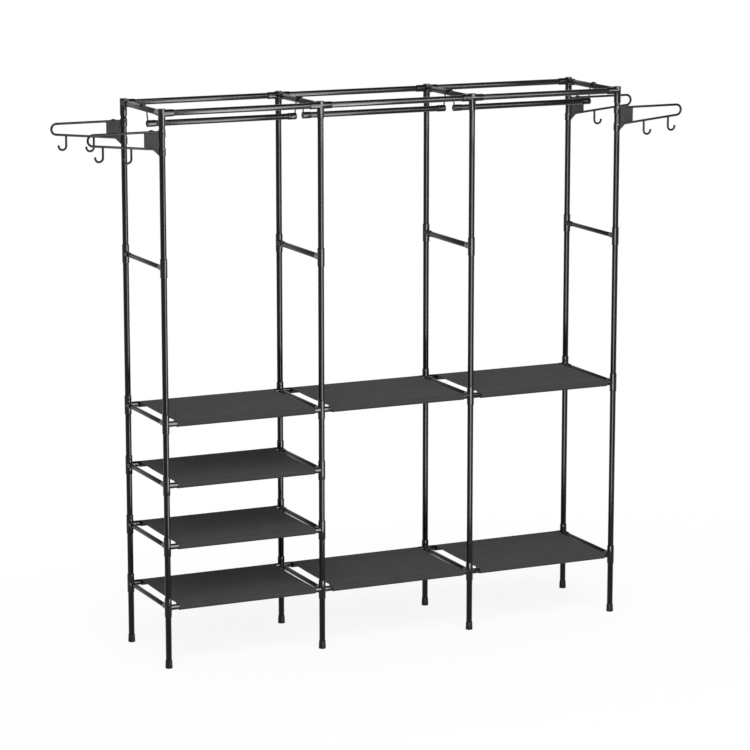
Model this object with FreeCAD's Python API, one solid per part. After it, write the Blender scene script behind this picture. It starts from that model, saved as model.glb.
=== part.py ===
import FreeCAD, Part
import math
import os

Vector = FreeCAD.Vector
along = Vector(1, 0, 0)
back = Vector(0, 1, 0)
up = Vector(0, 0, 1)

# Millimetres. Origin on the floor in the middle, X along the rack, Y to the back, Z up.

# Frame
total_height = 1700.0
bay_pitch = 509.0
frame_depth = 320.0
lowest_shelf_height = 189.0
shelf_pitch = 188.7
mid_rail_height = 1226.0
top_rail_drop = 13.4

# Tubes: posts, long top rails and hanging rods are stout, the other rails are slimmer
post_diameter = 18.3
spreader_diameter = 17.4
slim_diameter = 14.0
tube_wall = 0.6

# Moulded connectors: an upright sleeve with one socket for each rail
sleeve_wall = 1.7
socket_clearance = 0.06
shelf_sleeve_length = 58.0
mid_sleeve_length = 56.0
top_sleeve_length = 52.0
top_cap_thickness = 2.0
top_socket_depth = 24.5
depth_socket_depth = 19.5
shelf_socket_right = 23.0
shelf_socket_left = 13.5

# Feet
foot_height = 24.5
foot_floor = 4.0
foot_bottom_diameter = 22.3
foot_top_diameter = 20.3

# Fabric shelves with a tunnel hem that hangs a little loose round each of their two rails
fabric_thickness = 0.9
fabric_slack = 0.3
fabric_end_gap = 0.5
hem_drop = 2.6

# Hanging rods, each on two wire hooks over the top depth rails
rod_drop = 47.3
rod_end_gap = 12.5
rod_cap_length = 27.0
rod_cap_wall = 1.1
rod_cap_block = 8.0
rod_stagger = 4.0
rod_hook_wire = 4.2
rod_hook_gap = 0.3
rod_hook_lip_angle = 60.0
rod_hook_anchor = 2.0

# Swivelling hook arms on the end posts, measured from the post axis and from the top wire
arm_drop = 67.4
arm_reach = 234.0
arm_wire = 7.2
arm_loop_radius = 16.3
arm_leg_start = 28.0
arm_window_height = 47.8
plate_reach = 56.0
plate_thickness = 4.0
plate_top_rise = 3.0
gusset_depth = 53.6
collar_wall = 1.7
collar_clearance = 0.1
collar_length = 23.0
upper_collar_rise = 5.9
lower_collar_depth = 71.6
seat_clearance = 0.05
coat_hook_wire = 6.8
coat_hook_radius = 12.0
coat_hook_length = 47.5
coat_hook_tip_rise = 3.0
coat_hook_reach_shares = (0.4125, 0.788)

# Bent wire is drawn with this many flats, and each bend with this many short straights
wire_sides = 8
bend_steps = 10

# Derived sizes
post_radius = post_diameter / 2
sleeve_radius = post_radius + socket_clearance + sleeve_wall
top_rail_height = total_height - top_rail_drop
rod_height = top_rail_height - rod_drop
arm_height = total_height - arm_drop
level_names = ["bottom", "lower", "upper", "top"]
levels = {name: lowest_shelf_height + shelf_pitch * step for step, name in enumerate(level_names)}
line_names = ["left_end", "left_inner", "right_inner", "right_end"]
bay_names = ["left", "middle", "right"]
lines = [bay_pitch * (index - len(bay_names) / 2) for index in range(len(line_names))]
depths = [-frame_depth / 2, frame_depth / 2]
end_lines = [index for index, name in enumerate(line_names) if name.endswith("end")]
inner_lines = [index for index, name in enumerate(line_names) if name.endswith("inner")]

# Shelves in each bay
bay_shelves = [level_names, ["bottom", "top"], ["bottom", "top"]]


def rod_between(start, end, radius):
    run = end - start
    return Part.makeCylinder(radius, run.Length, start, run)


def tube_between(start, end, diameter):
    outside = rod_between(start, end, diameter / 2)
    return outside.cut(rod_between(start, end, diameter / 2 - tube_wall))


def group(solids):
    return Part.makeCompound(solids)


def export(name, shape):
    shape.exportStep("parts/" + name + ".step")


def on_circle(center, radius, angle):
    turn = math.radians(angle)
    return center + along * (radius * math.cos(turn)) + up * (radius * math.sin(turn))


def bend(center, radius, first, last):
    angles = [first + (last - first) * step / bend_steps for step in range(bend_steps + 1)]
    return [on_circle(center, radius, angle) for angle in angles]


def tangent_angle(center, radius, point):
    offset = point - center
    bearing = math.degrees(math.atan2(offset.z, offset.x))
    return bearing + math.degrees(math.acos(radius / offset.Length))


# A wire bent in an upright plane along the given points, with its corners mitred
def bent_wire(points, diameter):
    heading = points[1] - points[0]
    side = heading.normalize().cross(back)
    turns = [2 * math.pi * (step + 0.5) / wire_sides for step in range(wire_sides + 1)]
    corners = [points[0] + (side * math.cos(turn) + back * math.sin(turn)) * (diameter / 2) for turn in turns]
    section = Part.makePolygon(corners)
    return Part.makePolygon(points).makePipeShell([section], True, False, 1)


# A connector at the origin, with its rail axes at height zero. Each side is a direction,
# the diameter of the rail that goes in there and the depth of its socket.
def connector(bottom, top, cap, sides):
    body = rod_between(up * bottom, up * top, sleeve_radius)
    for direction, diameter, depth in sides:
        socket_radius = diameter / 2 + socket_clearance
        end = direction * (sleeve_radius + depth)
        body = body.fuse(rod_between(Vector(), end, socket_radius + sleeve_wall))
    body = body.removeSplitter()
    body = body.cut(rod_between(up * bottom, up * (top - cap), post_radius + socket_clearance))
    for direction, diameter, depth in sides:
        socket_radius = diameter / 2 + socket_clearance
        end = direction * (sleeve_radius + depth)
        body = body.cut(rod_between(direction * sleeve_radius, end, socket_radius))
    return body


# Inward direction along Y for the front and the back post of a line
def inward(depth):
    return back if depth < 0 else back * -1


# The depth rail at mid height is stouter on the two inner lines
def mid_diameter(index):
    return spreader_diameter if index in inner_lines else slim_diameter


def has_shelf(bay, level):
    return 0 <= bay < len(bay_shelves) and level in bay_shelves[bay]


def line_levels(index):
    return [level for level in level_names if has_shelf(index - 1, level) or has_shelf(index, level)]


# Posts of three tubes each, which meet inside the top shelf connector and the mid connector
def post(place):
    joints = [foot_floor, levels["top"], mid_rail_height, total_height - top_cap_thickness]
    pairs = zip(joints[:-1], joints[1:])
    return [tube_between(place + up * low, place + up * high, post_diameter) for low, high in pairs]


def foot():
    shell = Part.makeCone(foot_bottom_diameter / 2, foot_top_diameter / 2, foot_height)
    return shell.cut(rod_between(up * foot_floor, up * foot_height, post_radius + socket_clearance))


def shelf_connector(index, level, depth):
    sides = [(inward(depth), slim_diameter, depth_socket_depth)]
    if has_shelf(index, level):
        sides.append((along, slim_diameter, shelf_socket_right))
    if has_shelf(index - 1, level):
        sides.append((along * -1, slim_diameter, shelf_socket_left))
    half = shelf_sleeve_length / 2
    return connector(-half, half, 0, sides)


def mid_connector(index, depth):
    half = mid_sleeve_length / 2
    return connector(-half, half, 0, [(inward(depth), mid_diameter(index), depth_socket_depth)])


def top_connector(index, depth):
    sides = [(inward(depth), spreader_diameter, top_socket_depth)]
    if index < len(bay_names):
        sides.append((along, post_diameter, top_socket_depth))
    if index > 0:
        sides.append((along * -1, post_diameter, top_socket_depth))
    return connector(top_rail_drop - top_sleeve_length, top_rail_drop, top_cap_thickness, sides)


def depth_rail(x, height, diameter):
    start = Vector(x, depths[0] + sleeve_radius, height)
    end = Vector(x, depths[1] - sleeve_radius, height)
    return tube_between(start, end, diameter)


def bay_rail(bay, y, height, diameter):
    start = Vector(lines[bay] + sleeve_radius, y, height)
    end = Vector(lines[bay + 1] - sleeve_radius, y, height)
    return tube_between(start, end, diameter)


# An upright oval round a rail axis, drawn out along X
def hem_oval(start, length, radius):
    top = Part.Arc(start - back * radius, start + up * radius, start + back * radius).toShape()
    low = start - up * hem_drop
    bottom = Part.Arc(low + back * radius, low - up * radius, low - back * radius).toShape()
    back_side = Part.makeLine(start + back * radius, low + back * radius)
    front_side = Part.makeLine(low - back * radius, start - back * radius)
    return Part.Face(Part.Wire([top, back_side, bottom, front_side])).extrude(along * length)


# One sheet between the rail tops, closed round each rail
def fabric_shelf(bay, height):
    left = lines[bay] + sleeve_radius + shelf_socket_right + fabric_end_gap
    right = lines[bay + 1] - sleeve_radius - shelf_socket_left - fabric_end_gap
    inner = slim_diameter / 2 + fabric_slack
    outer = inner + fabric_thickness
    low_corner = Vector(left, depths[0], height + inner)
    sheet = Part.makeBox(right - left, frame_depth, fabric_thickness, low_corner)
    for y in depths:
        sheet = sheet.fuse(hem_oval(Vector(left, y, height), right - left, outer))
    for y in depths:
        sheet = sheet.cut(hem_oval(Vector(left, y, height), right - left, inner))
    return sheet.removeSplitter()


# Left end of a hanging rod, with the post line at the origin and the rod along X
def rod_hook_points():
    rail = up * top_rail_height
    radius = spreader_diameter / 2 + rod_hook_gap + rod_hook_wire / 2
    anchor = along * (rod_end_gap + rod_cap_block / 2) + up * (rod_height + rod_hook_anchor)
    return bend(rail, radius, rod_hook_lip_angle + 90, tangent_angle(rail, radius, anchor)) + [anchor]


def rod_cap():
    start = along * rod_end_gap + up * rod_height
    socket = along * (rod_end_gap + rod_cap_block) + up * rod_height
    end = along * (rod_end_gap + rod_cap_length) + up * rod_height
    cap = rod_between(start, end, post_radius + socket_clearance + rod_cap_wall)
    cap = cap.cut(rod_between(socket, end, post_radius + socket_clearance))
    return cap.cut(bent_wire(rod_hook_points(), rod_hook_wire + 2 * seat_clearance))


# The piece at a left rod end and its twin turned round to the right end
def rod_ends(shape, bay, y):
    first = shape.translated(Vector(lines[bay], y, 0))
    middle = Vector((lines[bay] + lines[bay + 1]) / 2, y, 0)
    return group([first, first.rotated(middle, up, 180)])


def hanging_rod(bay, y):
    start = Vector(lines[bay] + rod_end_gap + rod_cap_block, y, rod_height)
    end = Vector(lines[bay + 1] - rod_end_gap - rod_cap_block, y, rod_height)
    return tube_between(start, end, post_diameter)


# Hook arm on a post at the origin, pointing along X
arm_corner = along * plate_reach + up * (arm_height - arm_window_height)
arm_turn = along * (arm_reach - arm_wire / 2 - arm_loop_radius) + up * (arm_height - arm_loop_radius)
arm_low_angle = tangent_angle(arm_turn, arm_loop_radius, arm_corner)
arm_low_end = on_circle(arm_turn, arm_loop_radius, arm_low_angle)
arm_slope = (arm_low_end.z - arm_corner.z) / (arm_low_end.x - arm_corner.x)


def low_wire_point(reach):
    return along * reach + up * (arm_corner.z + arm_slope * (reach - plate_reach))


def arm_loop(diameter):
    start = along * arm_leg_start + up * arm_height
    turn = bend(arm_turn, arm_loop_radius, 90, arm_low_angle)
    return bent_wire([start] + turn + [low_wire_point(arm_leg_start)], diameter)


def arm_bracket():
    collar_radius = post_radius + collar_clearance + collar_wall
    lower_bottom = arm_height - lower_collar_depth
    gusset_low = lower_bottom + collar_wall
    gusset_corner = along * arm_leg_start + up * (arm_height - gusset_depth)
    top = up * (arm_height + plate_top_rise)
    outline = [top, along * plate_reach + top, arm_corner, low_wire_point(arm_leg_start), gusset_corner,
               along * collar_radius + up * gusset_low, up * gusset_low, top]
    plate = Part.Face(Part.makePolygon(outline)).extrude(back * plate_thickness)
    plate.translate(back * (-plate_thickness / 2))
    upper_top = arm_height + upper_collar_rise
    collars = [rod_between(up * (upper_top - collar_length), up * upper_top, collar_radius),
               rod_between(up * lower_bottom, up * (lower_bottom + collar_length), collar_radius)]
    bracket = plate.multiFuse(collars).removeSplitter()
    bracket = bracket.cut(rod_between(up * lower_bottom, up * upper_top, post_radius + collar_clearance))
    return bracket.cut(arm_loop(arm_wire + 2 * seat_clearance))


def coat_hook(reach):
    top = low_wire_point(reach)
    center = top + along * coat_hook_radius
    center = center - up * (coat_hook_length - coat_hook_wire / 2 - coat_hook_radius)
    curl = bend(center, coat_hook_radius, 180, 360)
    hook = bent_wire([top] + curl + [curl[-1] + up * coat_hook_tip_rise], coat_hook_wire)
    return hook.cut(arm_loop(arm_wire + 2 * seat_clearance))


def place_arm(shape, x, y):
    turned = shape.rotated(Vector(), up, 180) if x < 0 else shape
    return turned.translated(Vector(x, y, 0))


os.makedirs("parts", exist_ok=True)

post_places = [Vector(x, y, 0) for x in lines for y in depths]
export("feet", group([foot().translated(place) for place in post_places]))

for index, name in enumerate(line_names):
    x = lines[index]
    export(name + "_posts", group([tube for y in depths for tube in post(Vector(x, y, 0))]))
    placed = [shelf_connector(index, level, y).translated(Vector(x, y, levels[level]))
              for level in line_levels(index) for y in depths]
    export(name + "_shelf_connectors", group(placed))
    rails = [depth_rail(x, levels[level], slim_diameter) for level in line_levels(index)]
    rails.append(depth_rail(x, mid_rail_height, mid_diameter(index)))
    rails.append(depth_rail(x, top_rail_height, spreader_diameter))
    export(name + "_depth_rails", group(rails))

for names, indices in (("corner", end_lines), ("tee", inner_lines)):
    placed = [top_connector(index, y).translated(Vector(lines[index], y, top_rail_height))
              for index in indices for y in depths]
    export("top_" + names + "_connectors", group(placed))

for names, indices in (("outer", end_lines), ("inner", inner_lines)):
    placed = [mid_connector(index, y).translated(Vector(lines[index], y, mid_rail_height))
              for index in indices for y in depths]
    export(names + "_mid_connectors", group(placed))

for bay, name in enumerate(bay_names):
    export(name + "_top_rails", group([bay_rail(bay, y, top_rail_height, post_diameter) for y in depths]))
    for count, level in enumerate(bay_shelves[bay]):
        shelf_name = name + "_shelf_" + str(count + 1)
        export(shelf_name + "_rails", group([bay_rail(bay, y, levels[level], slim_diameter) for y in depths]))
        export(shelf_name + "_fabric", fabric_shelf(bay, levels[level]))
    stagger = rod_stagger if name == "middle" else -rod_stagger
    export(name + "_hanging_rod", hanging_rod(bay, stagger))
    export(name + "_rod_caps", rod_ends(rod_cap(), bay, stagger))
    export(name + "_rod_hooks", rod_ends(bent_wire(rod_hook_points(), rod_hook_wire), bay, stagger))

hook_pair = group([coat_hook(arm_reach * share) for share in coat_hook_reach_shares])
for side, x in (("left", lines[0]), ("right", lines[-1])):
    for end, y in (("front", depths[0]), ("back", depths[1])):
        arm_name = end + "_" + side + "_arm"
        export(arm_name + "_bracket", place_arm(arm_bracket(), x, y))
        export(arm_name + "_loop", place_arm(arm_loop(arm_wire), x, y))
        export(arm_name + "_coat_hooks", place_arm(hook_pair, x, y))
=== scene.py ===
import math

import bmesh
import bpy
from mathutils import Matrix, Vector


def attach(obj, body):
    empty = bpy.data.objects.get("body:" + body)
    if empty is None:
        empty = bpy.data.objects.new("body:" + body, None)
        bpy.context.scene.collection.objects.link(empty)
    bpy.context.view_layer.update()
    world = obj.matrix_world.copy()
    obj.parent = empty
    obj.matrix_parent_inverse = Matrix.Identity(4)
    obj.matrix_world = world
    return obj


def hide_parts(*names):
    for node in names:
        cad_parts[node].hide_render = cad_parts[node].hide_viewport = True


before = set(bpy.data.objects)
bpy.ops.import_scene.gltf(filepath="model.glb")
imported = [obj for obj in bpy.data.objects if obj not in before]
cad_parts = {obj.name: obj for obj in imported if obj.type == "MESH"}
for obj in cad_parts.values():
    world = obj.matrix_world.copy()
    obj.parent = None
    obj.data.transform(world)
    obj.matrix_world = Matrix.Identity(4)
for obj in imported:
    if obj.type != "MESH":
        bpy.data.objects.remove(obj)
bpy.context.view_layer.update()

# Where the rack's lines, levels and bays are, in metres
rack = {
    "lines": [-0.7635, -0.2545, 0.2545, 0.7635],
    "endLines": (0, 3), "innerLines": (1, 2),
    "depths": [-0.16, 0.16],
    "levels": [0.189, 0.3777, 0.5664, 0.7551],
    "mid": 1.226,
    "topRail": 1.6866,
    "height": 1.7,
    "postFoot": 0.004, "postHead": 0.002,
    "lineNames": ["left_end", "left_inner", "right_inner", "right_end"],
    "bayNames": ["left", "middle", "right"],
    "bayShelves": [[0, 1, 2, 3], [0, 3], [0, 3]],
    "sleeveRadius": 0.01091,
}
stoutTube = 0.0183
spreaderTube = 0.0174
slimTube = 0.014
sleeve = rack["sleeveRadius"]

# Meshing: how near counts as the same place, how level a cap's face is, the least step into a bore
sameSpot = 0.00001
capFacing = 0.9
boreStep = 0.00002


def hasShelf(bay, level):
    return 0 <= bay < len(rack["bayShelves"]) and level in rack["bayShelves"][bay]


def lineLevels(line):
    return [level for level in range(len(rack["levels"])) if hasShelf(line - 1, level) or hasShelf(line, level)]


# Small helpers for picking, shaping, copying and joining

def pickOnly(piece):
    bpy.ops.object.select_all(action="DESELECT")
    piece.select_set(True)
    bpy.context.view_layer.objects.active = piece


def applyPlace(piece):
    pickOnly(piece)
    bpy.ops.object.transform_apply(location=True, rotation=True, scale=True)


def editAll(piece):
    pickOnly(piece)
    bpy.ops.object.mode_set(mode="EDIT")
    bpy.ops.mesh.select_all(action="SELECT")


def editSome(piece, kind, choose):
    pickOnly(piece)
    bpy.ops.object.mode_set(mode="EDIT")
    bpy.ops.mesh.select_mode(type=kind)
    bpy.ops.mesh.select_all(action="DESELECT")
    mesh = bmesh.from_edit_mesh(piece.data)
    for part in mesh.faces if kind == "FACE" else mesh.edges:
        part.select_set(bool(choose(part)))
    bmesh.update_edit_mesh(piece.data)


def doneEditing():
    bpy.ops.object.mode_set(mode="OBJECT")


def makeCylinder(sides, radius, low, high):
    bpy.ops.object.select_all(action="DESELECT")
    bpy.ops.mesh.primitive_cylinder_add(vertices=sides, radius=radius, depth=high - low,
                                        location=(0, 0, (low + high) / 2))
    bpy.ops.object.transform_apply(location=True, rotation=True, scale=True)
    return bpy.context.object


def sinkFaces(piece, choose, wall, depth, slope=boreStep, apart=False):
    editSome(piece, "FACE", choose)
    bpy.ops.mesh.inset(thickness=wall, depth=0, use_individual=apart)
    bpy.ops.mesh.inset(thickness=slope, depth=-depth, use_individual=apart)
    doneEditing()


def roundEdges(piece, choose, offset, steps):
    editSome(piece, "EDGE", choose)
    bpy.ops.mesh.bevel(offset=offset, segments=steps)
    doneEditing()


def smoothPiece(piece, angle=40):
    pickOnly(piece)
    bpy.ops.object.shade_smooth_by_angle(angle=math.radians(angle))


def copyTo(model, place, turn=None):
    twin = model.copy()
    twin.data = model.data.copy()
    bpy.context.collection.objects.link(twin)
    twin.matrix_world = Matrix.Translation(Vector(place)) @ (turn or Matrix.Identity(4)) @ model.matrix_world
    return twin


def joinAs(name, parts):
    bpy.ops.object.select_all(action="DESELECT")
    for part in parts:
        part.select_set(True)
    bpy.context.view_layer.objects.active = parts[0]
    if len(parts) > 1:
        bpy.ops.object.join()
    piece = bpy.context.view_layer.objects.active
    bpy.ops.object.transform_apply(location=True, rotation=True, scale=True)
    piece.name = name
    piece.data.name = name
    return piece


def dropModel(model):
    bpy.data.objects.remove(model, do_unlink=True)


def turnUpTo(direction):
    return Vector((0, 0, 1)).rotation_difference(Vector(direction)).to_matrix().to_4x4()


# With no material given, a piece keeps those of its parts
def dress(piece, node, body, material=None):
    if material:
        piece.data.materials.clear()
        piece.data.materials.append(material)
    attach(piece, body)
    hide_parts(node)


# Materials

def newMaterial(name):
    material = bpy.data.materials.new(name)
    material.use_nodes = True
    tree = material.node_tree
    shader = tree.nodes["Principled BSDF"]
    return material, tree, shader


def addNode(tree, kind, **values):
    node = tree.nodes.new(kind)
    for key, value in values.items():
        if key in node.inputs:
            node.inputs[key].default_value = value
        else:
            setattr(node, key, value)
    return node


def noiseOn(tree, coords, scale, detail, roughness=0.5):
    noise = addNode(tree, "ShaderNodeTexNoise", Scale=scale, Detail=detail, Roughness=roughness)
    tree.links.new(coords, noise.inputs["Vector"])
    return noise.outputs["Fac"]


def rampOn(tree, value, low, high, lowColor, highColor):
    ramp = addNode(tree, "ShaderNodeValToRGB")
    ramp.color_ramp.elements[0].position = low
    ramp.color_ramp.elements[1].position = high
    ramp.color_ramp.elements[0].color = (*lowColor, 1)
    ramp.color_ramp.elements[1].color = (*highColor, 1)
    tree.links.new(value, ramp.inputs["Fac"])
    return ramp.outputs["Color"]


def rangeOn(tree, value, low, high, toLow, toHigh):
    node = addNode(tree, "ShaderNodeMapRange")
    for socket, number in zip(("From Min", "From Max", "To Min", "To Max"), (low, high, toLow, toHigh)):
        node.inputs[socket].default_value = number
    tree.links.new(value, node.inputs["Value"])
    return node.outputs["Result"]


def bumpOn(tree, height, strength, distance, below=None):
    bump = addNode(tree, "ShaderNodeBump", Strength=strength, Distance=distance)
    tree.links.new(height, bump.inputs["Height"])
    if below is not None:
        tree.links.new(below, bump.inputs["Normal"])
    return bump.outputs["Normal"]


# Powder coat: a fine orange peel with grit in it, a little cloudy in colour and gloss
powderCoat = {
    "dark": (0.002, 0.002, 0.0021), "light": (0.0034, 0.0034, 0.0035), "colorRange": (0.35, 0.7),
    "cloudScale": 38, "cloudDetail": 4, "roughRange": (0.3, 0.7), "rough": (0.18, 0.25),
    "peelScale": 1500, "peelDetail": 2, "peelStrength": 0.005, "peelDepth": 0.0002,
    "gritTimes": 3.2, "gritDetail": 1, "gritShare": 0.5, "gritDepth": 0.00008,
    "gloss": {"post": 0.16, "rail": 0.3, "rod": 0.2, "spreader": 0.1, "wire": 0.14},
}
wireCoat = {**powderCoat, "peelScale": 2200, "rough": (0.3, 0.42)}


def makePowderCoat(kind, values):
    material, tree, shader = newMaterial(kind + "PowderCoat")
    coords = addNode(tree, "ShaderNodeTexCoord").outputs["Object"]
    cloud = noiseOn(tree, coords, values["cloudScale"], values["cloudDetail"])
    peel = noiseOn(tree, coords, values["peelScale"], values["peelDetail"])
    grit = noiseOn(tree, coords, values["peelScale"] * values["gritTimes"], values["gritDetail"])
    color = rampOn(tree, cloud, *values["colorRange"], values["dark"], values["light"])
    wave = bumpOn(tree, peel, values["peelStrength"], values["peelDepth"])
    skin = bumpOn(tree, grit, values["peelStrength"] * values["gritShare"], values["gritDepth"], wave)
    tree.links.new(color, shader.inputs["Base Color"])
    tree.links.new(rangeOn(tree, cloud, *values["roughRange"], *values["rough"]), shader.inputs["Roughness"])
    tree.links.new(skin, shader.inputs["Normal"])
    shader.inputs["Specular IOR Level"].default_value = values["gloss"][kind]
    return material


# Moulded plastic: an etched grain, with flow marks in its colour and gloss
plasticSkin = {
    "flowScale": 55, "flowDetail": 3, "colorRange": (0.35, 0.68), "roughRange": (0.3, 0.7),
    "grainDetail": 3, "grainRoughness": 0.6, "grainDepth": 0.0001,
}
mouldedPlastic = {
    "connector": {"dark": (0.003, 0.003, 0.0031), "light": (0.005, 0.005, 0.0052),
                  "grain": 2200, "grainStrength": 0.03, "rough": (0.12, 0.17), "specular": 0.22},
    "foot": {"dark": (0.005, 0.005, 0.0051), "light": (0.008, 0.008, 0.0082),
             "grain": 1800, "grainStrength": 0.15, "rough": (0.45, 0.58), "specular": 0.13},
    # Bracket plate: mid grey standing in for the white studio mirrored in dark plastic, a painted reflection
    "bracket": {"dark": (0.037, 0.037, 0.0374), "light": (0.046, 0.046, 0.0465),
                "grain": 1700, "grainStrength": 0.15, "rough": (0.48, 0.6), "specular": 0.035},
}


def makeMouldedPlastic(kind):
    values = {**plasticSkin, **mouldedPlastic[kind]}
    material, tree, shader = newMaterial(kind + "Plastic")
    coords = addNode(tree, "ShaderNodeTexCoord").outputs["Object"]
    flow = noiseOn(tree, coords, values["flowScale"], values["flowDetail"])
    grain = noiseOn(tree, coords, values["grain"], values["grainDetail"], values["grainRoughness"])
    color = rampOn(tree, flow, *values["colorRange"], values["dark"], values["light"])
    tree.links.new(color, shader.inputs["Base Color"])
    tree.links.new(rangeOn(tree, flow, *values["roughRange"], *values["rough"]), shader.inputs["Roughness"])
    tree.links.new(bumpOn(tree, grain, values["grainStrength"], values["grainDepth"]), shader.inputs["Normal"])
    shader.inputs["Specular IOR Level"].default_value = values["specular"]
    return material


# Non-woven fabric: pressed dots in rows, matted fibres, and sewn lines along the hems
feltSheet = {
    "dark": (0.036, 0.036, 0.0363), "light": (0.0465, 0.0465, 0.0468), "thread": (0.0585, 0.0585, 0.059),
    "dotPitch": 0.0024, "dotFloor": 0.25, "dotSoftness": 0.3, "dotStrength": 0.35, "dotDepth": 0.00018,
    "fibreScale": 1400, "fibreDetail": 5, "fibreRoughness": 0.7, "fibreShare": 0.45, "fibreRange": (0.3, 0.7),
    "fuzzStrength": 0.4, "fuzzDepth": 0.00025,
    "mottleScale": 24, "mottleDetail": 5, "mottleRoughness": 0.6, "mottleShare": 0.55, "colorRange": (0.34, 0.66),
    "stitchLong": 0.0042, "stitchWide": 0.0009, "stitchShare": 0.72, "stitchStrength": 0.7, "stitchDepth": 0.0004,
    "rough": (0.82, 0.95), "specular": 0.03, "sheen": 0.03, "sheenRoughness": 0.6,
}


def makeFelt(name, values, seams, edges):
    material, tree, shader = newMaterial(name)
    links = tree.links
    uv = addNode(tree, "ShaderNodeUVMap", uv_map="cloth").outputs["UV"]
    coords = addNode(tree, "ShaderNodeTexCoord").outputs["Object"]
    parts = addNode(tree, "ShaderNodeSeparateXYZ")
    links.new(uv, parts.inputs["Vector"])

    def maths(operation, first, second=None, third=None):
        node = addNode(tree, "ShaderNodeMath", operation=operation)
        for socket, value in zip(node.inputs, (first, second, third)):
            if value is None:
                continue
            if isinstance(value, (int, float)):
                socket.default_value = value
            else:
                links.new(value, socket)
        return node.outputs["Value"]

    def ripple(value, pitch):
        return maths("COSINE", maths("MULTIPLY", value, 2 * math.pi / pitch))

    def sewnLine(across, place, along):
        near = maths("LESS_THAN", maths("ABSOLUTE", maths("SUBTRACT", across, place)), values["stitchWide"] / 2)
        count = maths("FRACT", maths("MULTIPLY", along, 1 / values["stitchLong"]))
        return maths("MULTIPLY", near, maths("LESS_THAN", count, values["stitchShare"]))

    u, v = parts.outputs["X"], parts.outputs["Y"]
    dots = maths("MULTIPLY", ripple(maths("ADD", u, v), values["dotPitch"]),
                 ripple(maths("SUBTRACT", u, v), values["dotPitch"]))
    pits = maths("SMOOTH_MAX", dots, values["dotFloor"], values["dotSoftness"])
    fibre = noiseOn(tree, coords, values["fibreScale"], values["fibreDetail"], values["fibreRoughness"])
    mottle = noiseOn(tree, coords, values["mottleScale"], values["mottleDetail"], values["mottleRoughness"])
    stitch = None
    for across, place, along in [(v, seam, u) for seam in seams] + [(u, edge, v) for edge in edges]:
        line = sewnLine(across, place, along)
        stitch = line if stitch is None else maths("MAXIMUM", stitch, line)
    shade = maths("ADD", maths("MULTIPLY", mottle, values["mottleShare"]),
                  maths("MULTIPLY", fibre, values["fibreShare"]))
    cloth = rampOn(tree, shade, *values["colorRange"], values["dark"], values["light"])
    sewn = addNode(tree, "ShaderNodeMix", data_type="RGBA")
    factor, ground, thread, mixed = sewn.inputs[0], sewn.inputs[6], sewn.inputs[7], sewn.outputs[2]  # for colours
    links.new(stitch, factor)
    links.new(cloth, ground)
    thread.default_value = (*values["thread"], 1)
    links.new(mixed, shader.inputs["Base Color"])
    links.new(rangeOn(tree, fibre, *values["fibreRange"], *values["rough"]), shader.inputs["Roughness"])
    pressed = bumpOn(tree, pits, values["dotStrength"], values["dotDepth"])
    fuzz = bumpOn(tree, fibre, values["fuzzStrength"], values["fuzzDepth"], pressed)
    links.new(bumpOn(tree, stitch, values["stitchStrength"], values["stitchDepth"], fuzz), shader.inputs["Normal"])
    shader.inputs["Specular IOR Level"].default_value = values["specular"]
    shader.inputs["Sheen Weight"].default_value = values["sheen"]
    shader.inputs["Sheen Roughness"].default_value = values["sheenRoughness"]
    return material


postFinish = makePowderCoat("post", powderCoat)
railFinish = makePowderCoat("rail", powderCoat)
rodFinish = makePowderCoat("rod", powderCoat)
spreaderFinish = makePowderCoat("spreader", powderCoat)
wireFinish = makePowderCoat("wire", wireCoat)
connectorFinish = makeMouldedPlastic("connector")
footFinish = makeMouldedPlastic("foot")
# The bracket plate's grey colour is a painted reflection of the white studio
platePaintedReflection = makeMouldedPlastic("bracket")
print("materials made")


# Tubes: rolled steel with an open bore at each end and softened rims
tube = {"sides": 40, "wall": 0.0006, "boreDepth": 0.012, "rim": 0.0002, "rimSteps": 2, "endGap": 0.00002}


def makeTube(length, diameter):
    model = makeCylinder(tube["sides"], diameter / 2, -length / 2, length / 2)
    sinkFaces(model, lambda face: abs(face.normal.z) > capFacing, tube["wall"], tube["boreDepth"], apart=True)
    half = length / 2 - sameSpot
    reach = diameter / 2 - sameSpot
    roundEdges(model, lambda edge: all(abs(corner.co.z) > half and corner.co.xy.length > reach
                                       for corner in edge.verts), tube["rim"], tube["rimSteps"])
    smoothPiece(model)
    return model


def tubesBetween(name, node, body, runs, finish):
    models = {}
    parts = []
    for start, end, size in runs:
        run = Vector(end) - Vector(start)
        key = (round(run.length, 6), size)
        if key not in models:
            models[key] = makeTube(run.length - 2 * tube["endGap"], size)
        parts.append(copyTo(models[key], (Vector(start) + Vector(end)) / 2, turnUpTo(run.normalized())))
    piece = joinAs(name, parts)
    for model in models.values():
        dropModel(model)
    dress(piece, node, body, finish)


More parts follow.
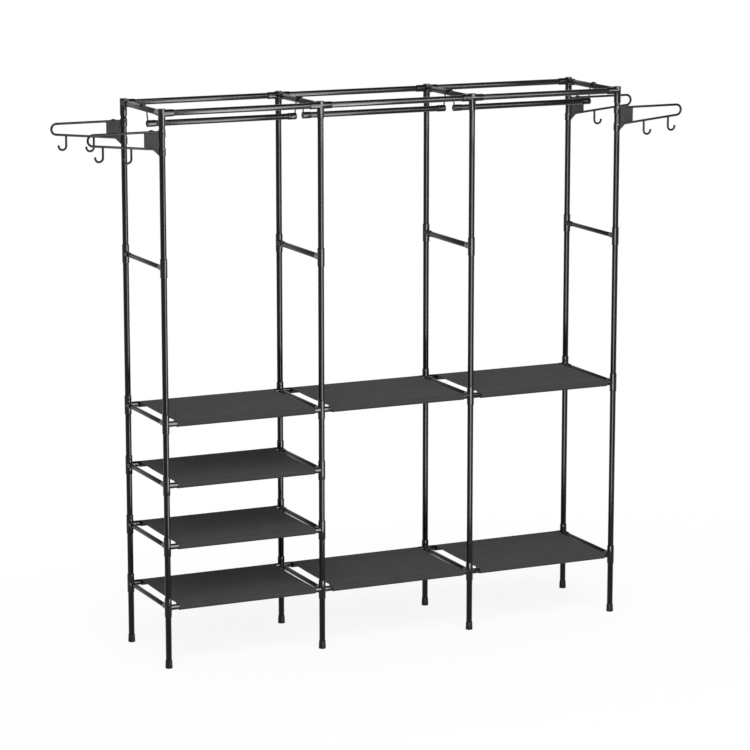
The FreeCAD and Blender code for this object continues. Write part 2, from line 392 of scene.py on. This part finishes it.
postJoints = [rack["postFoot"], rack["levels"][-1], rack["mid"], rack["height"] - rack["postHead"]]
for line, lineName in enumerate(rack["lineNames"]):
    x = rack["lines"][line]
    runs = [((x, y, low), (x, y, high), stoutTube)
            for y in rack["depths"] for low, high in zip(postJoints, postJoints[1:])]
    tubesBetween(lineName + "_post_tubes", lineName + "_posts", "frame", runs, postFinish)
    runs = [(rack["levels"][level], slimTube) for level in lineLevels(line)]
    runs += [(rack["mid"], spreaderTube if line in rack["innerLines"] else slimTube), (rack["topRail"], spreaderTube)]
    runs = [((x, rack["depths"][0] + sleeve, z), (x, rack["depths"][1] - sleeve, z), size) for z, size in runs]
    tubesBetween(lineName + "_depth_tubes", lineName + "_depth_rails", "frame", runs, spreaderFinish)
for bay, bayName in enumerate(rack["bayNames"]):
    left, right = rack["lines"][bay] + sleeve, rack["lines"][bay + 1] - sleeve
    runs = [((left, y, rack["topRail"]), (right, y, rack["topRail"]), stoutTube) for y in rack["depths"]]
    tubesBetween(bayName + "_top_tubes", bayName + "_top_rails", "frame", runs, railFinish)
    for count, level in enumerate(rack["bayShelves"][bay]):
        z = rack["levels"][level]
        runs = [((left, y, z), (right, y, z), slimTube) for y in rack["depths"]]
        shelfName = "%s_shelf_%d" % (bayName, count + 1)
        tubesBetween(shelfName + "_tubes", shelfName + "_rails", "frame", runs, railFinish)
print("tubes placed")


# Moulded connectors: an upright sleeve with a short sleeve for each rail, joined into one skin
connector = {
    "sides": 48, "wall": 0.0017, "slack": 0.00006, "mouth": 0.006, "rim": 0.0006, "rimSteps": 3, "weld": 0.00001,
    "shelfLength": 0.058, "midLength": 0.056, "topLength": 0.052, "smooth": 32,
    "topReach": 0.0245, "depthReach": 0.0195, "shelfRight": 0.023, "shelfLeft": 0.0135,
}


def makeSleeve(radius, low, high, direction, openLow, openHigh):
    model = makeCylinder(connector["sides"], radius, low, high)
    sinkFaces(model, lambda face: (face.normal.z > capFacing and openHigh) or (face.normal.z < -capFacing and openLow),
              connector["wall"], connector["mouth"], apart=True)
    upright = direction.z > 0.5
    reach = radius - sameSpot

    def isRim(edge):
        first, second = edge.verts[0].co, edge.verts[1].co
        level = abs(first.z - second.z) < sameSpot and first.xy.length > reach and second.xy.length > reach
        return level and (upright or abs(first.z - high) < sameSpot)

    roundEdges(model, isRim, connector["rim"], connector["rimSteps"])
    model.matrix_world = turnUpTo(direction)
    applyPlace(model)
    return model


def makeConnector(low, high, closedTop, sides):
    body = makeSleeve(sleeve, low, high, Vector((0, 0, 1)), True, not closedTop)
    for direction, size, depth in sides:
        branch = makeSleeve(size / 2 + connector["slack"] + connector["wall"], 0.0, sleeve + depth, Vector(direction),
                            False, True)
        pickOnly(body)
        union = body.modifiers.new("union", "BOOLEAN")
        union.operation = "UNION"
        union.solver = "EXACT"
        union.object = branch
        bpy.ops.object.modifier_apply(modifier=union.name)
        dropModel(branch)
    editAll(body)
    bpy.ops.mesh.remove_doubles(threshold=connector["weld"])
    bpy.ops.mesh.dissolve_degenerate(threshold=connector["weld"])
    doneEditing()
    smoothPiece(body, connector["smooth"])
    return body


connectorModels = {}


def connectorFor(low, high, closedTop, sides):
    key = (low, high, closedTop, tuple(sides))
    if key not in connectorModels:
        connectorModels[key] = makeConnector(low, high, closedTop, sides)
    return connectorModels[key]


def inward(y):
    return (0, 1, 0) if y < 0 else (0, -1, 0)


def placeConnectors(name, node, spots):
    piece = joinAs(name, [copyTo(model, place) for model, place in spots])
    dress(piece, node, "frame", connectorFinish)


for line, lineName in enumerate(rack["lineNames"]):
    spots = []
    for level in lineLevels(line):
        for y in rack["depths"]:
            sides = [(inward(y), slimTube, connector["depthReach"])]
            if hasShelf(line, level):
                sides.append(((1, 0, 0), slimTube, connector["shelfRight"]))
            if hasShelf(line - 1, level):
                sides.append(((-1, 0, 0), slimTube, connector["shelfLeft"]))
            half = connector["shelfLength"] / 2
            spots.append((connectorFor(-half, half, False, sides), (rack["lines"][line], y, rack["levels"][level])))
    placeConnectors(lineName + "_shelf_sleeves", lineName + "_shelf_connectors", spots)
firstLine, lastLine = rack["endLines"]
for kind, kindLines in (("corner", rack["endLines"]), ("tee", rack["innerLines"])):
    spots = []
    for line in kindLines:
        for y in rack["depths"]:
            sides = [(inward(y), spreaderTube, connector["topReach"])]
            if line < lastLine:
                sides.append(((1, 0, 0), stoutTube, connector["topReach"]))
            if line > firstLine:
                sides.append(((-1, 0, 0), stoutTube, connector["topReach"]))
            drop = rack["height"] - rack["topRail"]
            spots.append((connectorFor(drop - connector["topLength"], drop, True, sides),
                          (rack["lines"][line], y, rack["topRail"])))
    placeConnectors("top_%s_sleeves" % kind, "top_%s_connectors" % kind, spots)
for kind, kindLines, size in (("outer", rack["endLines"], slimTube), ("inner", rack["innerLines"], spreaderTube)):
    half = connector["midLength"] / 2
    spots = [(connectorFor(-half, half, False, [(inward(y), size, connector["depthReach"])]),
              (rack["lines"][line], y, rack["mid"])) for line in kindLines for y in rack["depths"]]
    placeConnectors(kind + "_mid_sleeves", kind + "_mid_connectors", spots)
for model in connectorModels.values():
    dropModel(model)
print("connectors placed")


# Feet: flared caps with a rounded, hollowed sole and a soft lip round the tube
foot = {
    "sides": 48, "height": 0.0245, "topRadius": 0.01015, "soleRadius": 0.01115, "slack": 0.00006, "seat": 0.004,
    "soleEdge": 0.0022, "hollow": 0.0006, "hollowSlope": 0.0003, "band": 0.0001,
    "sole": 0.0012, "soleSteps": 4, "lip": 0.0005, "lipSteps": 3,
}


def makeFoot():
    bpy.ops.object.select_all(action="DESELECT")
    bpy.ops.mesh.primitive_cone_add(vertices=foot["sides"], radius1=foot["soleRadius"], radius2=foot["topRadius"],
                                    depth=foot["height"], location=(0, 0, foot["height"] / 2))
    bpy.ops.object.transform_apply(location=True, rotation=True, scale=True)
    model = bpy.context.object
    lipWide = foot["topRadius"] - stoutTube / 2 - foot["slack"]
    sinkFaces(model, lambda face: face.normal.z > capFacing, lipWide, foot["seat"])
    sinkFaces(model, lambda face: face.normal.z < -capFacing, foot["soleEdge"], foot["hollow"], foot["hollowSlope"])
    soleReach = foot["soleRadius"] - foot["band"]
    roundEdges(model, lambda edge: all(corner.co.z < sameSpot and corner.co.xy.length > soleReach
                                       for corner in edge.verts), foot["sole"], foot["soleSteps"])
    top, lipReach = foot["height"] - sameSpot, foot["topRadius"] - foot["band"]
    roundEdges(model, lambda edge: all(corner.co.z > top and corner.co.xy.length > lipReach
                                       for corner in edge.verts), foot["lip"], foot["lipSteps"])
    smoothPiece(model)
    return model


footModel = makeFoot()
feet = joinAs("foot_caps", [copyTo(footModel, (x, y, 0)) for x in rack["lines"] for y in rack["depths"]])
dropModel(footModel)
dress(feet, "feet", "frame", footFinish)
print("feet placed")


# Bent wire of one thickness along given points, with rounded ends; the end's shares are of its thickness
wire = {
    "bevelSteps": 4, "weld": 0.000005, "smooth": 50,
    "endNear": 0.52, "endAngle": 1.2, "endRound": 0.2, "endSteps": 3,
}


def makeWire(name, points, diameter):
    curve = bpy.data.curves.new(name, "CURVE")
    curve.dimensions = "3D"
    curve.bevel_depth = diameter / 2
    curve.bevel_resolution = wire["bevelSteps"]
    curve.use_fill_caps = True
    spline = curve.splines.new("POLY")
    spline.points.add(len(points) - 1)
    for point, place in zip(spline.points, points):
        point.co = (*place, 1)
    line = bpy.data.objects.new(name, curve)
    bpy.context.collection.objects.link(line)
    pickOnly(line)
    bpy.ops.object.convert(target="MESH")
    model = bpy.context.object
    editAll(model)
    bpy.ops.mesh.remove_doubles(threshold=wire["weld"])
    bpy.ops.mesh.normals_make_consistent(inside=False)
    doneEditing()
    ends = [Vector(points[0]), Vector(points[-1])]
    near = diameter * wire["endNear"]
    roundEdges(model, lambda edge: len(edge.link_faces) == 2 and edge.calc_face_angle(0) > wire["endAngle"]
               and any((edge.verts[0].co - end).length < near for end in ends),
               diameter * wire["endRound"], wire["endSteps"])
    smoothPiece(model, wire["smooth"])
    return model


def turnPoints(center, radius, first, last, steps):
    spots = []
    for step in range(steps + 1):
        angle = math.radians(first + (last - first) * step / steps)
        spots.append((center[0] + radius * math.cos(angle), 0.0, center[1] + radius * math.sin(angle)))
    return spots


def tangentAngle(center, radius, point):
    across, rise = point[0] - center[0], point[1] - center[1]
    return math.degrees(math.atan2(rise, across) + math.acos(radius / math.hypot(across, rise)))


# Hanging rods: tube, two caps with a rounded end, two wire hooks over the top depth rails
rod = {
    "height": 1.6393, "endGap": 0.0125, "block": 0.008, "stagger": 0.004,
    "capSides": 48, "capLong": 0.027, "capWall": 0.0011, "capSlack": 0.00006, "capMouth": 0.006,
    "dome": 0.0014, "domeSteps": 5, "rim": 0.0005, "rimSteps": 3,
    "hookWire": 0.0042, "hookGap": 0.0003, "lipAngle": 60, "anchor": 0.002, "archSteps": 28,
}


def makeRodCap():
    radius = stoutTube / 2 + rod["capSlack"] + rod["capWall"]
    half = rod["capLong"] / 2
    model = makeCylinder(rod["capSides"], radius, -half, half)
    sinkFaces(model, lambda face: face.normal.z > capFacing, rod["capWall"], rod["capMouth"])
    roundEdges(model, lambda edge: all(corner.co.z < -half + sameSpot for corner in edge.verts),
               rod["dome"], rod["domeSteps"])
    roundEdges(model, lambda edge: all(corner.co.z > half - sameSpot and corner.co.xy.length > radius - sameSpot
                                       for corner in edge.verts), rod["rim"], rod["rimSteps"])
    smoothPiece(model)
    model.matrix_world = Matrix.Translation((rod["endGap"] + half, 0, rod["height"])) @ turnUpTo((1, 0, 0))
    applyPlace(model)
    return model


def makeRodHook():
    rail = (0.0, rack["topRail"])
    radius = spreaderTube / 2 + rod["hookGap"] + rod["hookWire"] / 2
    anchor = (rod["endGap"] + rod["block"] / 2, rod["height"] + rod["anchor"])
    arch = turnPoints(rail, radius, rod["lipAngle"] + 90, tangentAngle(rail, radius, anchor), rod["archSteps"])
    return makeWire("rodHook", arch + [(anchor[0], 0.0, anchor[1])], rod["hookWire"])


halfTurn = Matrix.Rotation(math.pi, 4, "Z")
capModel, rodHookModel = makeRodCap(), makeRodHook()
for bay, bayName in enumerate(rack["bayNames"]):
    y = rod["stagger"] if bayName == "middle" else -rod["stagger"]
    left, right = rack["lines"][bay], rack["lines"][bay + 1]
    inset = rod["endGap"] + rod["block"]
    body = bayName + "_rod"
    tubesBetween(bayName + "_rod_tube", bayName + "_hanging_rod", body,
                 [((left + inset, y, rod["height"]), (right - inset, y, rod["height"]), stoutTube)], rodFinish)
    caps = joinAs(bayName + "_rod_end_caps", [copyTo(capModel, (left, y, 0)),
                                              copyTo(capModel, (right, y, 0), halfTurn)])
    dress(caps, bayName + "_rod_caps", body, connectorFinish)
    hooks = joinAs(bayName + "_rod_hook_wires", [copyTo(rodHookModel, (left, y, 0)),
                                                copyTo(rodHookModel, (right, y, 0), halfTurn)])
    dress(hooks, bayName + "_rod_hooks", body, wireFinish)
dropModel(capModel)
dropModel(rodHookModel)
print("rods placed")


# Hook arms: moulded plate with two collars, a long wire loop and two coat hooks
arm = {
    "height": 1.6326, "reach": 0.234, "wire": 0.0072, "loopRadius": 0.0163, "legStart": 0.028, "window": 0.0478,
    "turnSteps": 32,
    "plateReach": 0.056, "plateThick": 0.004, "plateTop": 0.003, "plateEdge": 0.0007, "plateEdgeSteps": 3,
    "gusset": 0.0536, "humpMiddle": 0.0335, "humpWide": 0.019, "humpRise": 0.0036, "humpSteps": 8,
    "collarSides": 48, "collarWall": 0.0017, "collarSlack": 0.0001, "collarRim": 0.0006, "collarRimSteps": 3,
    "collarLong": 0.023, "upperRise": 0.0059, "lowerDepth": 0.0716,
    "hookWire": 0.0068, "hookRadius": 0.012, "hookLong": 0.0475, "tipRise": 0.003, "hookShares": (0.4125, 0.788),
}
armTurn = (arm["reach"] - arm["wire"] / 2 - arm["loopRadius"], arm["height"] - arm["loopRadius"])
armCorner = (arm["plateReach"], arm["height"] - arm["window"])
lowAngle = tangentAngle(armTurn, arm["loopRadius"], armCorner)
lowEnd = turnPoints(armTurn, arm["loopRadius"], lowAngle, lowAngle, 1)[0]
armSlope = (lowEnd[2] - armCorner[1]) / (lowEnd[0] - armCorner[0])


def lowWire(reach):
    return armCorner[1] + armSlope * (reach - armCorner[0])


def makeArmLoop():
    turn = turnPoints(armTurn, arm["loopRadius"], 90, lowAngle, arm["turnSteps"])
    start = (arm["legStart"], 0.0, arm["height"])
    return makeWire("armLoop", [start] + turn + [(arm["legStart"], 0.0, lowWire(arm["legStart"]))], arm["wire"])


def makeCoatHook(reach):
    top = lowWire(reach)
    center = (reach + arm["hookRadius"], top - arm["hookLong"] + arm["hookWire"] / 2 + arm["hookRadius"])
    curl = turnPoints(center, arm["hookRadius"], 180, 360, arm["turnSteps"])
    tip = (curl[-1][0], 0.0, curl[-1][2] + arm["tipRise"])
    return makeWire("coatHook", [(reach, 0.0, top)] + curl + [tip], arm["hookWire"])


def makeCollar(low, high):
    radius = stoutTube / 2 + arm["collarSlack"] + arm["collarWall"]
    model = makeCylinder(arm["collarSides"], radius, low, high)
    editSome(model, "FACE", lambda face: abs(face.normal.z) > capFacing)
    bpy.ops.mesh.inset(thickness=arm["collarWall"], depth=0, use_individual=True)
    mesh = bmesh.from_edit_mesh(model.data)
    for face in mesh.faces:  # the discs within the rings, which have four corners to a face
        face.select_set(abs(face.normal.z) > capFacing and len(face.verts) > 4)
    bmesh.update_edit_mesh(model.data)
    bpy.ops.mesh.bridge_edge_loops()
    doneEditing()
    roundEdges(model, lambda edge: abs(edge.verts[0].co.z - edge.verts[1].co.z) < sameSpot
               and all(corner.co.xy.length > radius - sameSpot for corner in edge.verts),
               arm["collarRim"], arm["collarRimSteps"])
    smoothPiece(model)
    return model


def armPlateOutline():
    inner = stoutTube / 2 + arm["collarSlack"] + arm["collarWall"] * 0.5
    lowest = arm["height"] - arm["lowerDepth"] + arm["collarWall"]
    top = arm["height"] + arm["plateTop"]
    shares = [step / arm["humpSteps"] for step in range(arm["humpSteps"] + 1)]
    hump = [(arm["humpMiddle"] + arm["humpWide"] * (share - 0.5),
             top + arm["humpRise"] * math.sin(math.pi * share)) for share in shares]
    return [
        (inner, top), *hump, (arm["plateReach"], top), armCorner,
        (arm["legStart"], lowWire(arm["legStart"])), (arm["legStart"], arm["height"] - arm["gusset"]),
        (inner + arm["collarWall"] * 0.5, lowest), (inner, lowest),
    ]


def makeArmPlate():
    outline = armPlateOutline()
    bpy.ops.object.select_all(action="DESELECT")
    bpy.ops.mesh.primitive_circle_add(vertices=len(outline), radius=arm["plateReach"], fill_type="NGON")
    model = bpy.context.object
    bpy.ops.object.mode_set(mode="EDIT")
    mesh = bmesh.from_edit_mesh(model.data)
    mesh.verts.ensure_lookup_table()
    for corner, place in zip(mesh.verts, outline):
        corner.co = (place[0], arm["plateThick"] / 2, place[1])
    bmesh.update_edit_mesh(model.data)
    bpy.ops.mesh.select_all(action="SELECT")
    bpy.ops.mesh.extrude_region_move(TRANSFORM_OT_translate={"value": (0, -arm["plateThick"], 0)})
    bpy.ops.mesh.select_all(action="SELECT")
    bpy.ops.mesh.normals_make_consistent(inside=False)
    doneEditing()
    roundEdges(model, lambda edge: abs(edge.verts[0].co.y - edge.verts[1].co.y) < sameSpot,
               arm["plateEdge"], arm["plateEdgeSteps"])
    smoothPiece(model)
    return model


def makeArmBracket():
    upperTop = arm["height"] + arm["upperRise"]
    lowerBottom = arm["height"] - arm["lowerDepth"]
    plate = makeArmPlate()
    # The plate's grey colour is a painted reflection of the white studio on dark plastic
    plate.data.materials.append(platePaintedReflection)
    collars = [makeCollar(upperTop - arm["collarLong"], upperTop),
               makeCollar(lowerBottom, lowerBottom + arm["collarLong"])]
    for collar in collars:
        collar.data.materials.append(connectorFinish)  # the connectors' dark glossy plastic; the plate's grey is a painted reflection of the white studio on this same plastic
    return joinAs("armBracket", [plate] + collars)


bracketModel, loopModel = makeArmBracket(), makeArmLoop()
hookModel = joinAs("coatHookPair", [makeCoatHook(arm["reach"] * share) for share in arm["hookShares"]])
for side, line in zip(("left", "right"), rack["endLines"]):
    for end, y in zip(("front", "back"), rack["depths"]):
        body = "%s_%s_arm" % (end, side)
        turn = halfTurn if side == "left" else None
        for model, part, slot, finish in ((bracketModel, "bracket", "bracket_plastic", None),
                                          (loopModel, "loop", "hook_steel", wireFinish),
                                          (hookModel, "coat_hooks", "hook_steel", wireFinish)):
            piece = joinAs(body + "_" + part + "_piece", [copyTo(model, (rack["lines"][line], y, 0), turn)])
            dress(piece, body + "_" + part, body, finish)
for model in (bracketModel, loopModel, hookModel):
    dropModel(model)
print("arms placed")


# Fabric shelves: one sheet pulled between the rails, its ends sewn into tunnels round them
# A wave is given by its turns across and along the sheet and its rise
shelf = {
    "thick": 0.0009, "slack": 0.0003, "endGap": 0.0005, "hemDrop": 0.0026, "seamBack": 0.024, "lapGap": 1.05,
    "columns": 90, "hemSteps": 18, "flatSteps": 56, "sideHem": 0.007, "tunnelHem": 0.003, "smooth": 60,
    "sag": 0.0022, "sagMean": 0.75, "sagSwing": 0.25, "sagTurns": 9, "edgeSag": 0.0012, "edgePower": 6,
    "waves": ((17, 9, 0.00025), (41, -23, 0.00012)),
}


def shelfProfile():
    radius = slimTube / 2 + shelf["slack"] + shelf["thick"] / 2
    reach, low = rack["depths"][1], -shelf["hemDrop"]
    seam = (reach - shelf["seamBack"], radius - shelf["thick"] * shelf["lapGap"])
    start = tangentAngle((reach, low), radius, seam)
    backHem = [seam]
    for first, last, height in ((start, 360, low), (360, 450, 0.0)):  # loose under the rail, then tight over it
        backHem += [(y, z) for y, _, z in turnPoints((reach, height), radius, first, last, shelf["hemSteps"])]
    flat = [(reach * (1 - 2 * step / shelf["flatSteps"]), radius) for step in range(1, shelf["flatSteps"])]
    frontHem = [(-y, z) for y, z in reversed(backHem)]
    return backHem + flat + frontHem, sum(math.dist(*pair) for pair in zip(backHem, backHem[1:]))


def shelfSag(share, y, z):
    reach = rack["depths"][1]
    if z <= 0 or abs(y) >= reach:
        return 0.0
    sag = shelf["sag"] * (shelf["sagMean"] + shelf["sagSwing"] * math.cos(share * shelf["sagTurns"]))
    edge = shelf["edgeSag"] * abs(2 * share - 1) ** shelf["edgePower"]
    wave = sum(math.sin(share * across + y * along) * rise for across, along, rise in shelf["waves"])
    return (1 - (y / reach) ** 2) * (sag + edge + wave)


def makeShelf(name, width):
    profile, hemAround = shelfProfile()
    rows, columns = len(profile), shelf["columns"] + 1
    bpy.ops.object.select_all(action="DESELECT")
    bpy.ops.mesh.primitive_grid_add(x_subdivisions=columns - 1, y_subdivisions=rows - 1, size=1, calc_uvs=True)
    model = bpy.context.object
    model.name = name
    lengths = [0.0]
    for first, second in zip(profile, profile[1:]):
        lengths.append(lengths[-1] + math.dist(first, second))
    for corner in model.data.vertices:
        column = round((corner.co.x + 0.5) * (columns - 1))
        row = round((corner.co.y + 0.5) * (rows - 1))
        y, z = profile[row]
        share = column / (columns - 1)
        corner.co = (width * (share - 0.5), y, z - shelfSag(share, y, z))
    layer = model.data.uv_layers[0]
    layer.name = "cloth"
    for loop in model.data.loops:
        spot = layer.data[loop.index]
        spot.uv = (spot.uv[0] * width, lengths[min(rows - 1, max(0, round(spot.uv[1] * (rows - 1))))])
    editAll(model)
    bpy.ops.mesh.normals_make_consistent(inside=False)
    doneEditing()
    solid = model.modifiers.new("thickness", "SOLIDIFY")
    solid.thickness = shelf["thick"]
    solid.offset = 0
    bpy.ops.object.modifier_apply(modifier=solid.name)
    smoothPiece(model, shelf["smooth"])
    return model, lengths[-1], hemAround


shelfLeft = sleeve + connector["shelfRight"] + shelf["endGap"]
shelfRight = sleeve + connector["shelfLeft"] + shelf["endGap"]
shelfWidth = rack["lines"][1] - rack["lines"][0] - shelfLeft - shelfRight
shelfModel, shelfLong, hemAround = makeShelf("shelfSheet", shelfWidth)
topSeam = hemAround + shelf["seamBack"]
seams = [shelf["tunnelHem"], shelfLong - shelf["tunnelHem"], topSeam, shelfLong - topSeam]
feltFinish = makeFelt("shelfFelt", feltSheet, seams, [shelf["sideHem"], shelfWidth - shelf["sideHem"]])
for bay, bayName in enumerate(rack["bayNames"]):
    middle = rack["lines"][bay] + shelfLeft + shelfWidth / 2
    for count, level in enumerate(rack["bayShelves"][bay]):
        shelfName = "%s_shelf_%d" % (bayName, count + 1)
        piece = joinAs(shelfName + "_cloth", [copyTo(shelfModel, (middle, 0, rack["levels"][level]))])
        dress(piece, shelfName + "_fabric", "frame", feltFinish)
dropModel(shelfModel)
print("shelves placed")


# Studio: pale floor, soft light from above, three softboxes that show in reflections, the photograph's camera
studio = {
    "floorSize": 80, "floorColor": (0.92, 0.92, 0.92),
    # The floor's glow share drops from 1 far out to a lower value round the rack: painted shade round the rack, on top
    # of the real shadow it lets through
    "glowInPaintedShade": 0.88, "paintedShadeScale": (0.45, 1, 1), "paintedShadeNear": 0.35, "paintedShadeFar": 1.4,
    "wallLight": 1.0, "ceilingLight": 0.22, "wallTop": 0.25, "ceilingStart": 0.75,
    "topFrom": (-0.3, -0.85, 1.0), "topAway": 4, "topLight": 2.3, "topSoftness": 50,
    "softboxes": {
        "uprightSoftbox": {"place": (0, -1.3, 0.77), "aim": (0, 0, 0.77), "size": (0.9, 1.46), "power": 80},
        "levelSoftbox": {"place": (0.4, -1.3, 1.74), "aim": (0.4, 0, 1.74), "size": (2.0, 0.3), "power": 36},
        "raisedSoftbox": {"place": (0.55, -1.3, 2.3), "aim": (0.55, 0, 0.9), "size": (1.8, 0.3), "power": 20},
    },
}
# Focal length and width in pixels, sensor in millimetres
photoCamera = {
    "place": (-4.0318, -8.6429, 2.6948), "yaw": 25.01, "pitch": -11.16,
    "focal": 3106.01, "wide": 750, "sensor": 36, "clipEnd": 200,
}


def makeFloor():
    bpy.ops.object.select_all(action="DESELECT")
    bpy.ops.mesh.primitive_plane_add(size=studio["floorSize"], location=(0, 0, 0))
    floor = bpy.context.object
    floor.name = "studioFloor"
    material, tree, shader = newMaterial("floorPaint")
    tree.nodes.remove(shader)
    paint = addNode(tree, "ShaderNodeBsdfDiffuse", Color=(*studio["floorColor"], 1))
    glow = addNode(tree, "ShaderNodeEmission", Color=(1, 1, 1, 1), Strength=1.0)
    path = addNode(tree, "ShaderNodeLightPath")
    mirrored = addNode(tree, "ShaderNodeMath", operation="MAXIMUM")
    seen = addNode(tree, "ShaderNodeMath", operation="MAXIMUM")
    share = addNode(tree, "ShaderNodeMath", operation="MULTIPLY")
    # The white glow is weaker in an oval round the rack, which darkens the floor there as painted shade
    squeeze = addNode(tree, "ShaderNodeVectorMath", operation="MULTIPLY")
    squeeze.inputs[1].default_value = studio["paintedShadeScale"]
    spread = addNode(tree, "ShaderNodeVectorMath", operation="LENGTH")
    blend = addNode(tree, "ShaderNodeMixShader")
    tree.links.new(addNode(tree, "ShaderNodeTexCoord").outputs["Object"], squeeze.inputs[0])
    tree.links.new(squeeze.outputs["Vector"], spread.inputs[0])
    fade = rangeOn(tree, spread.outputs["Value"], studio["paintedShadeNear"], studio["paintedShadeFar"], studio["glowInPaintedShade"], 1.0)
    tree.links.new(fade, share.inputs[1])
    tree.links.new(path.outputs["Is Glossy Ray"], mirrored.inputs[0])
    tree.links.new(path.outputs["Is Transmission Ray"], mirrored.inputs[1])
    tree.links.new(path.outputs["Is Camera Ray"], seen.inputs[0])
    tree.links.new(mirrored.outputs["Value"], seen.inputs[1])
    tree.links.new(seen.outputs["Value"], share.inputs[0])
    tree.links.new(share.outputs["Value"], blend.inputs["Fac"])
    tree.links.new(paint.outputs["BSDF"], blend.inputs[1])
    tree.links.new(glow.outputs["Emission"], blend.inputs[2])
    tree.links.new(blend.outputs["Shader"], tree.nodes["Material Output"].inputs["Surface"])
    floor.data.materials.append(material)


def makeWorld():
    world = bpy.data.worlds.new("studioWorld")
    bpy.context.scene.world = world
    world.use_nodes = True
    tree = world.node_tree
    light = tree.nodes["Background"]
    light.inputs["Color"].default_value = (1, 1, 1, 1)
    height = addNode(tree, "ShaderNodeSeparateXYZ")
    tree.links.new(addNode(tree, "ShaderNodeTexCoord").outputs["Generated"], height.inputs["Vector"])
    fade = rangeOn(tree, height.outputs["Z"], studio["wallTop"], studio["ceilingStart"],
                   studio["wallLight"], studio["ceilingLight"])
    tree.links.new(fade, light.inputs["Strength"])


def makeSoftbox(name, values):
    lamp = bpy.data.lights.new(name, "AREA")
    lamp.shape = "RECTANGLE"
    lamp.size, lamp.size_y = values["size"]
    lamp.energy = values["power"]
    box = bpy.data.objects.new(name, lamp)
    bpy.context.collection.objects.link(box)
    box.location = values["place"]
    box.rotation_euler = (Vector(values["aim"]) - box.location).to_track_quat("-Z", "Y").to_euler()
    box.visible_camera = False  # stands in the camera's way
    box.visible_diffuse = False  # there for the shine on the tubes alone


def makeTopLight():
    lamp = bpy.data.lights.new("topLight", "SUN")
    lamp.energy = studio["topLight"]
    lamp.angle = math.radians(studio["topSoftness"])
    top = bpy.data.objects.new("topLight", lamp)
    bpy.context.collection.objects.link(top)
    top.location = Vector(studio["topFrom"]) * studio["topAway"]
    top.rotation_euler = (-Vector(studio["topFrom"])).to_track_quat("-Z", "Y").to_euler()


def makeCamera():
    data = bpy.data.cameras.new("photoCamera")
    data.sensor_width = photoCamera["sensor"]
    data.lens = photoCamera["sensor"] * photoCamera["focal"] / photoCamera["wide"]
    data.clip_end = photoCamera["clipEnd"]
    camera = bpy.data.objects.new("photoCamera", data)
    bpy.context.collection.objects.link(camera)
    camera.location = photoCamera["place"]
    camera.rotation_euler = (math.radians(90 + photoCamera["pitch"]), 0, math.radians(-photoCamera["yaw"]))
    bpy.context.scene.camera = camera


makeFloor()
makeWorld()
for name, values in studio["softboxes"].items():
    makeSoftbox(name, values)
makeTopLight()
makeCamera()
bpy.context.scene.view_settings.view_transform = "Standard"
print("studio lit")
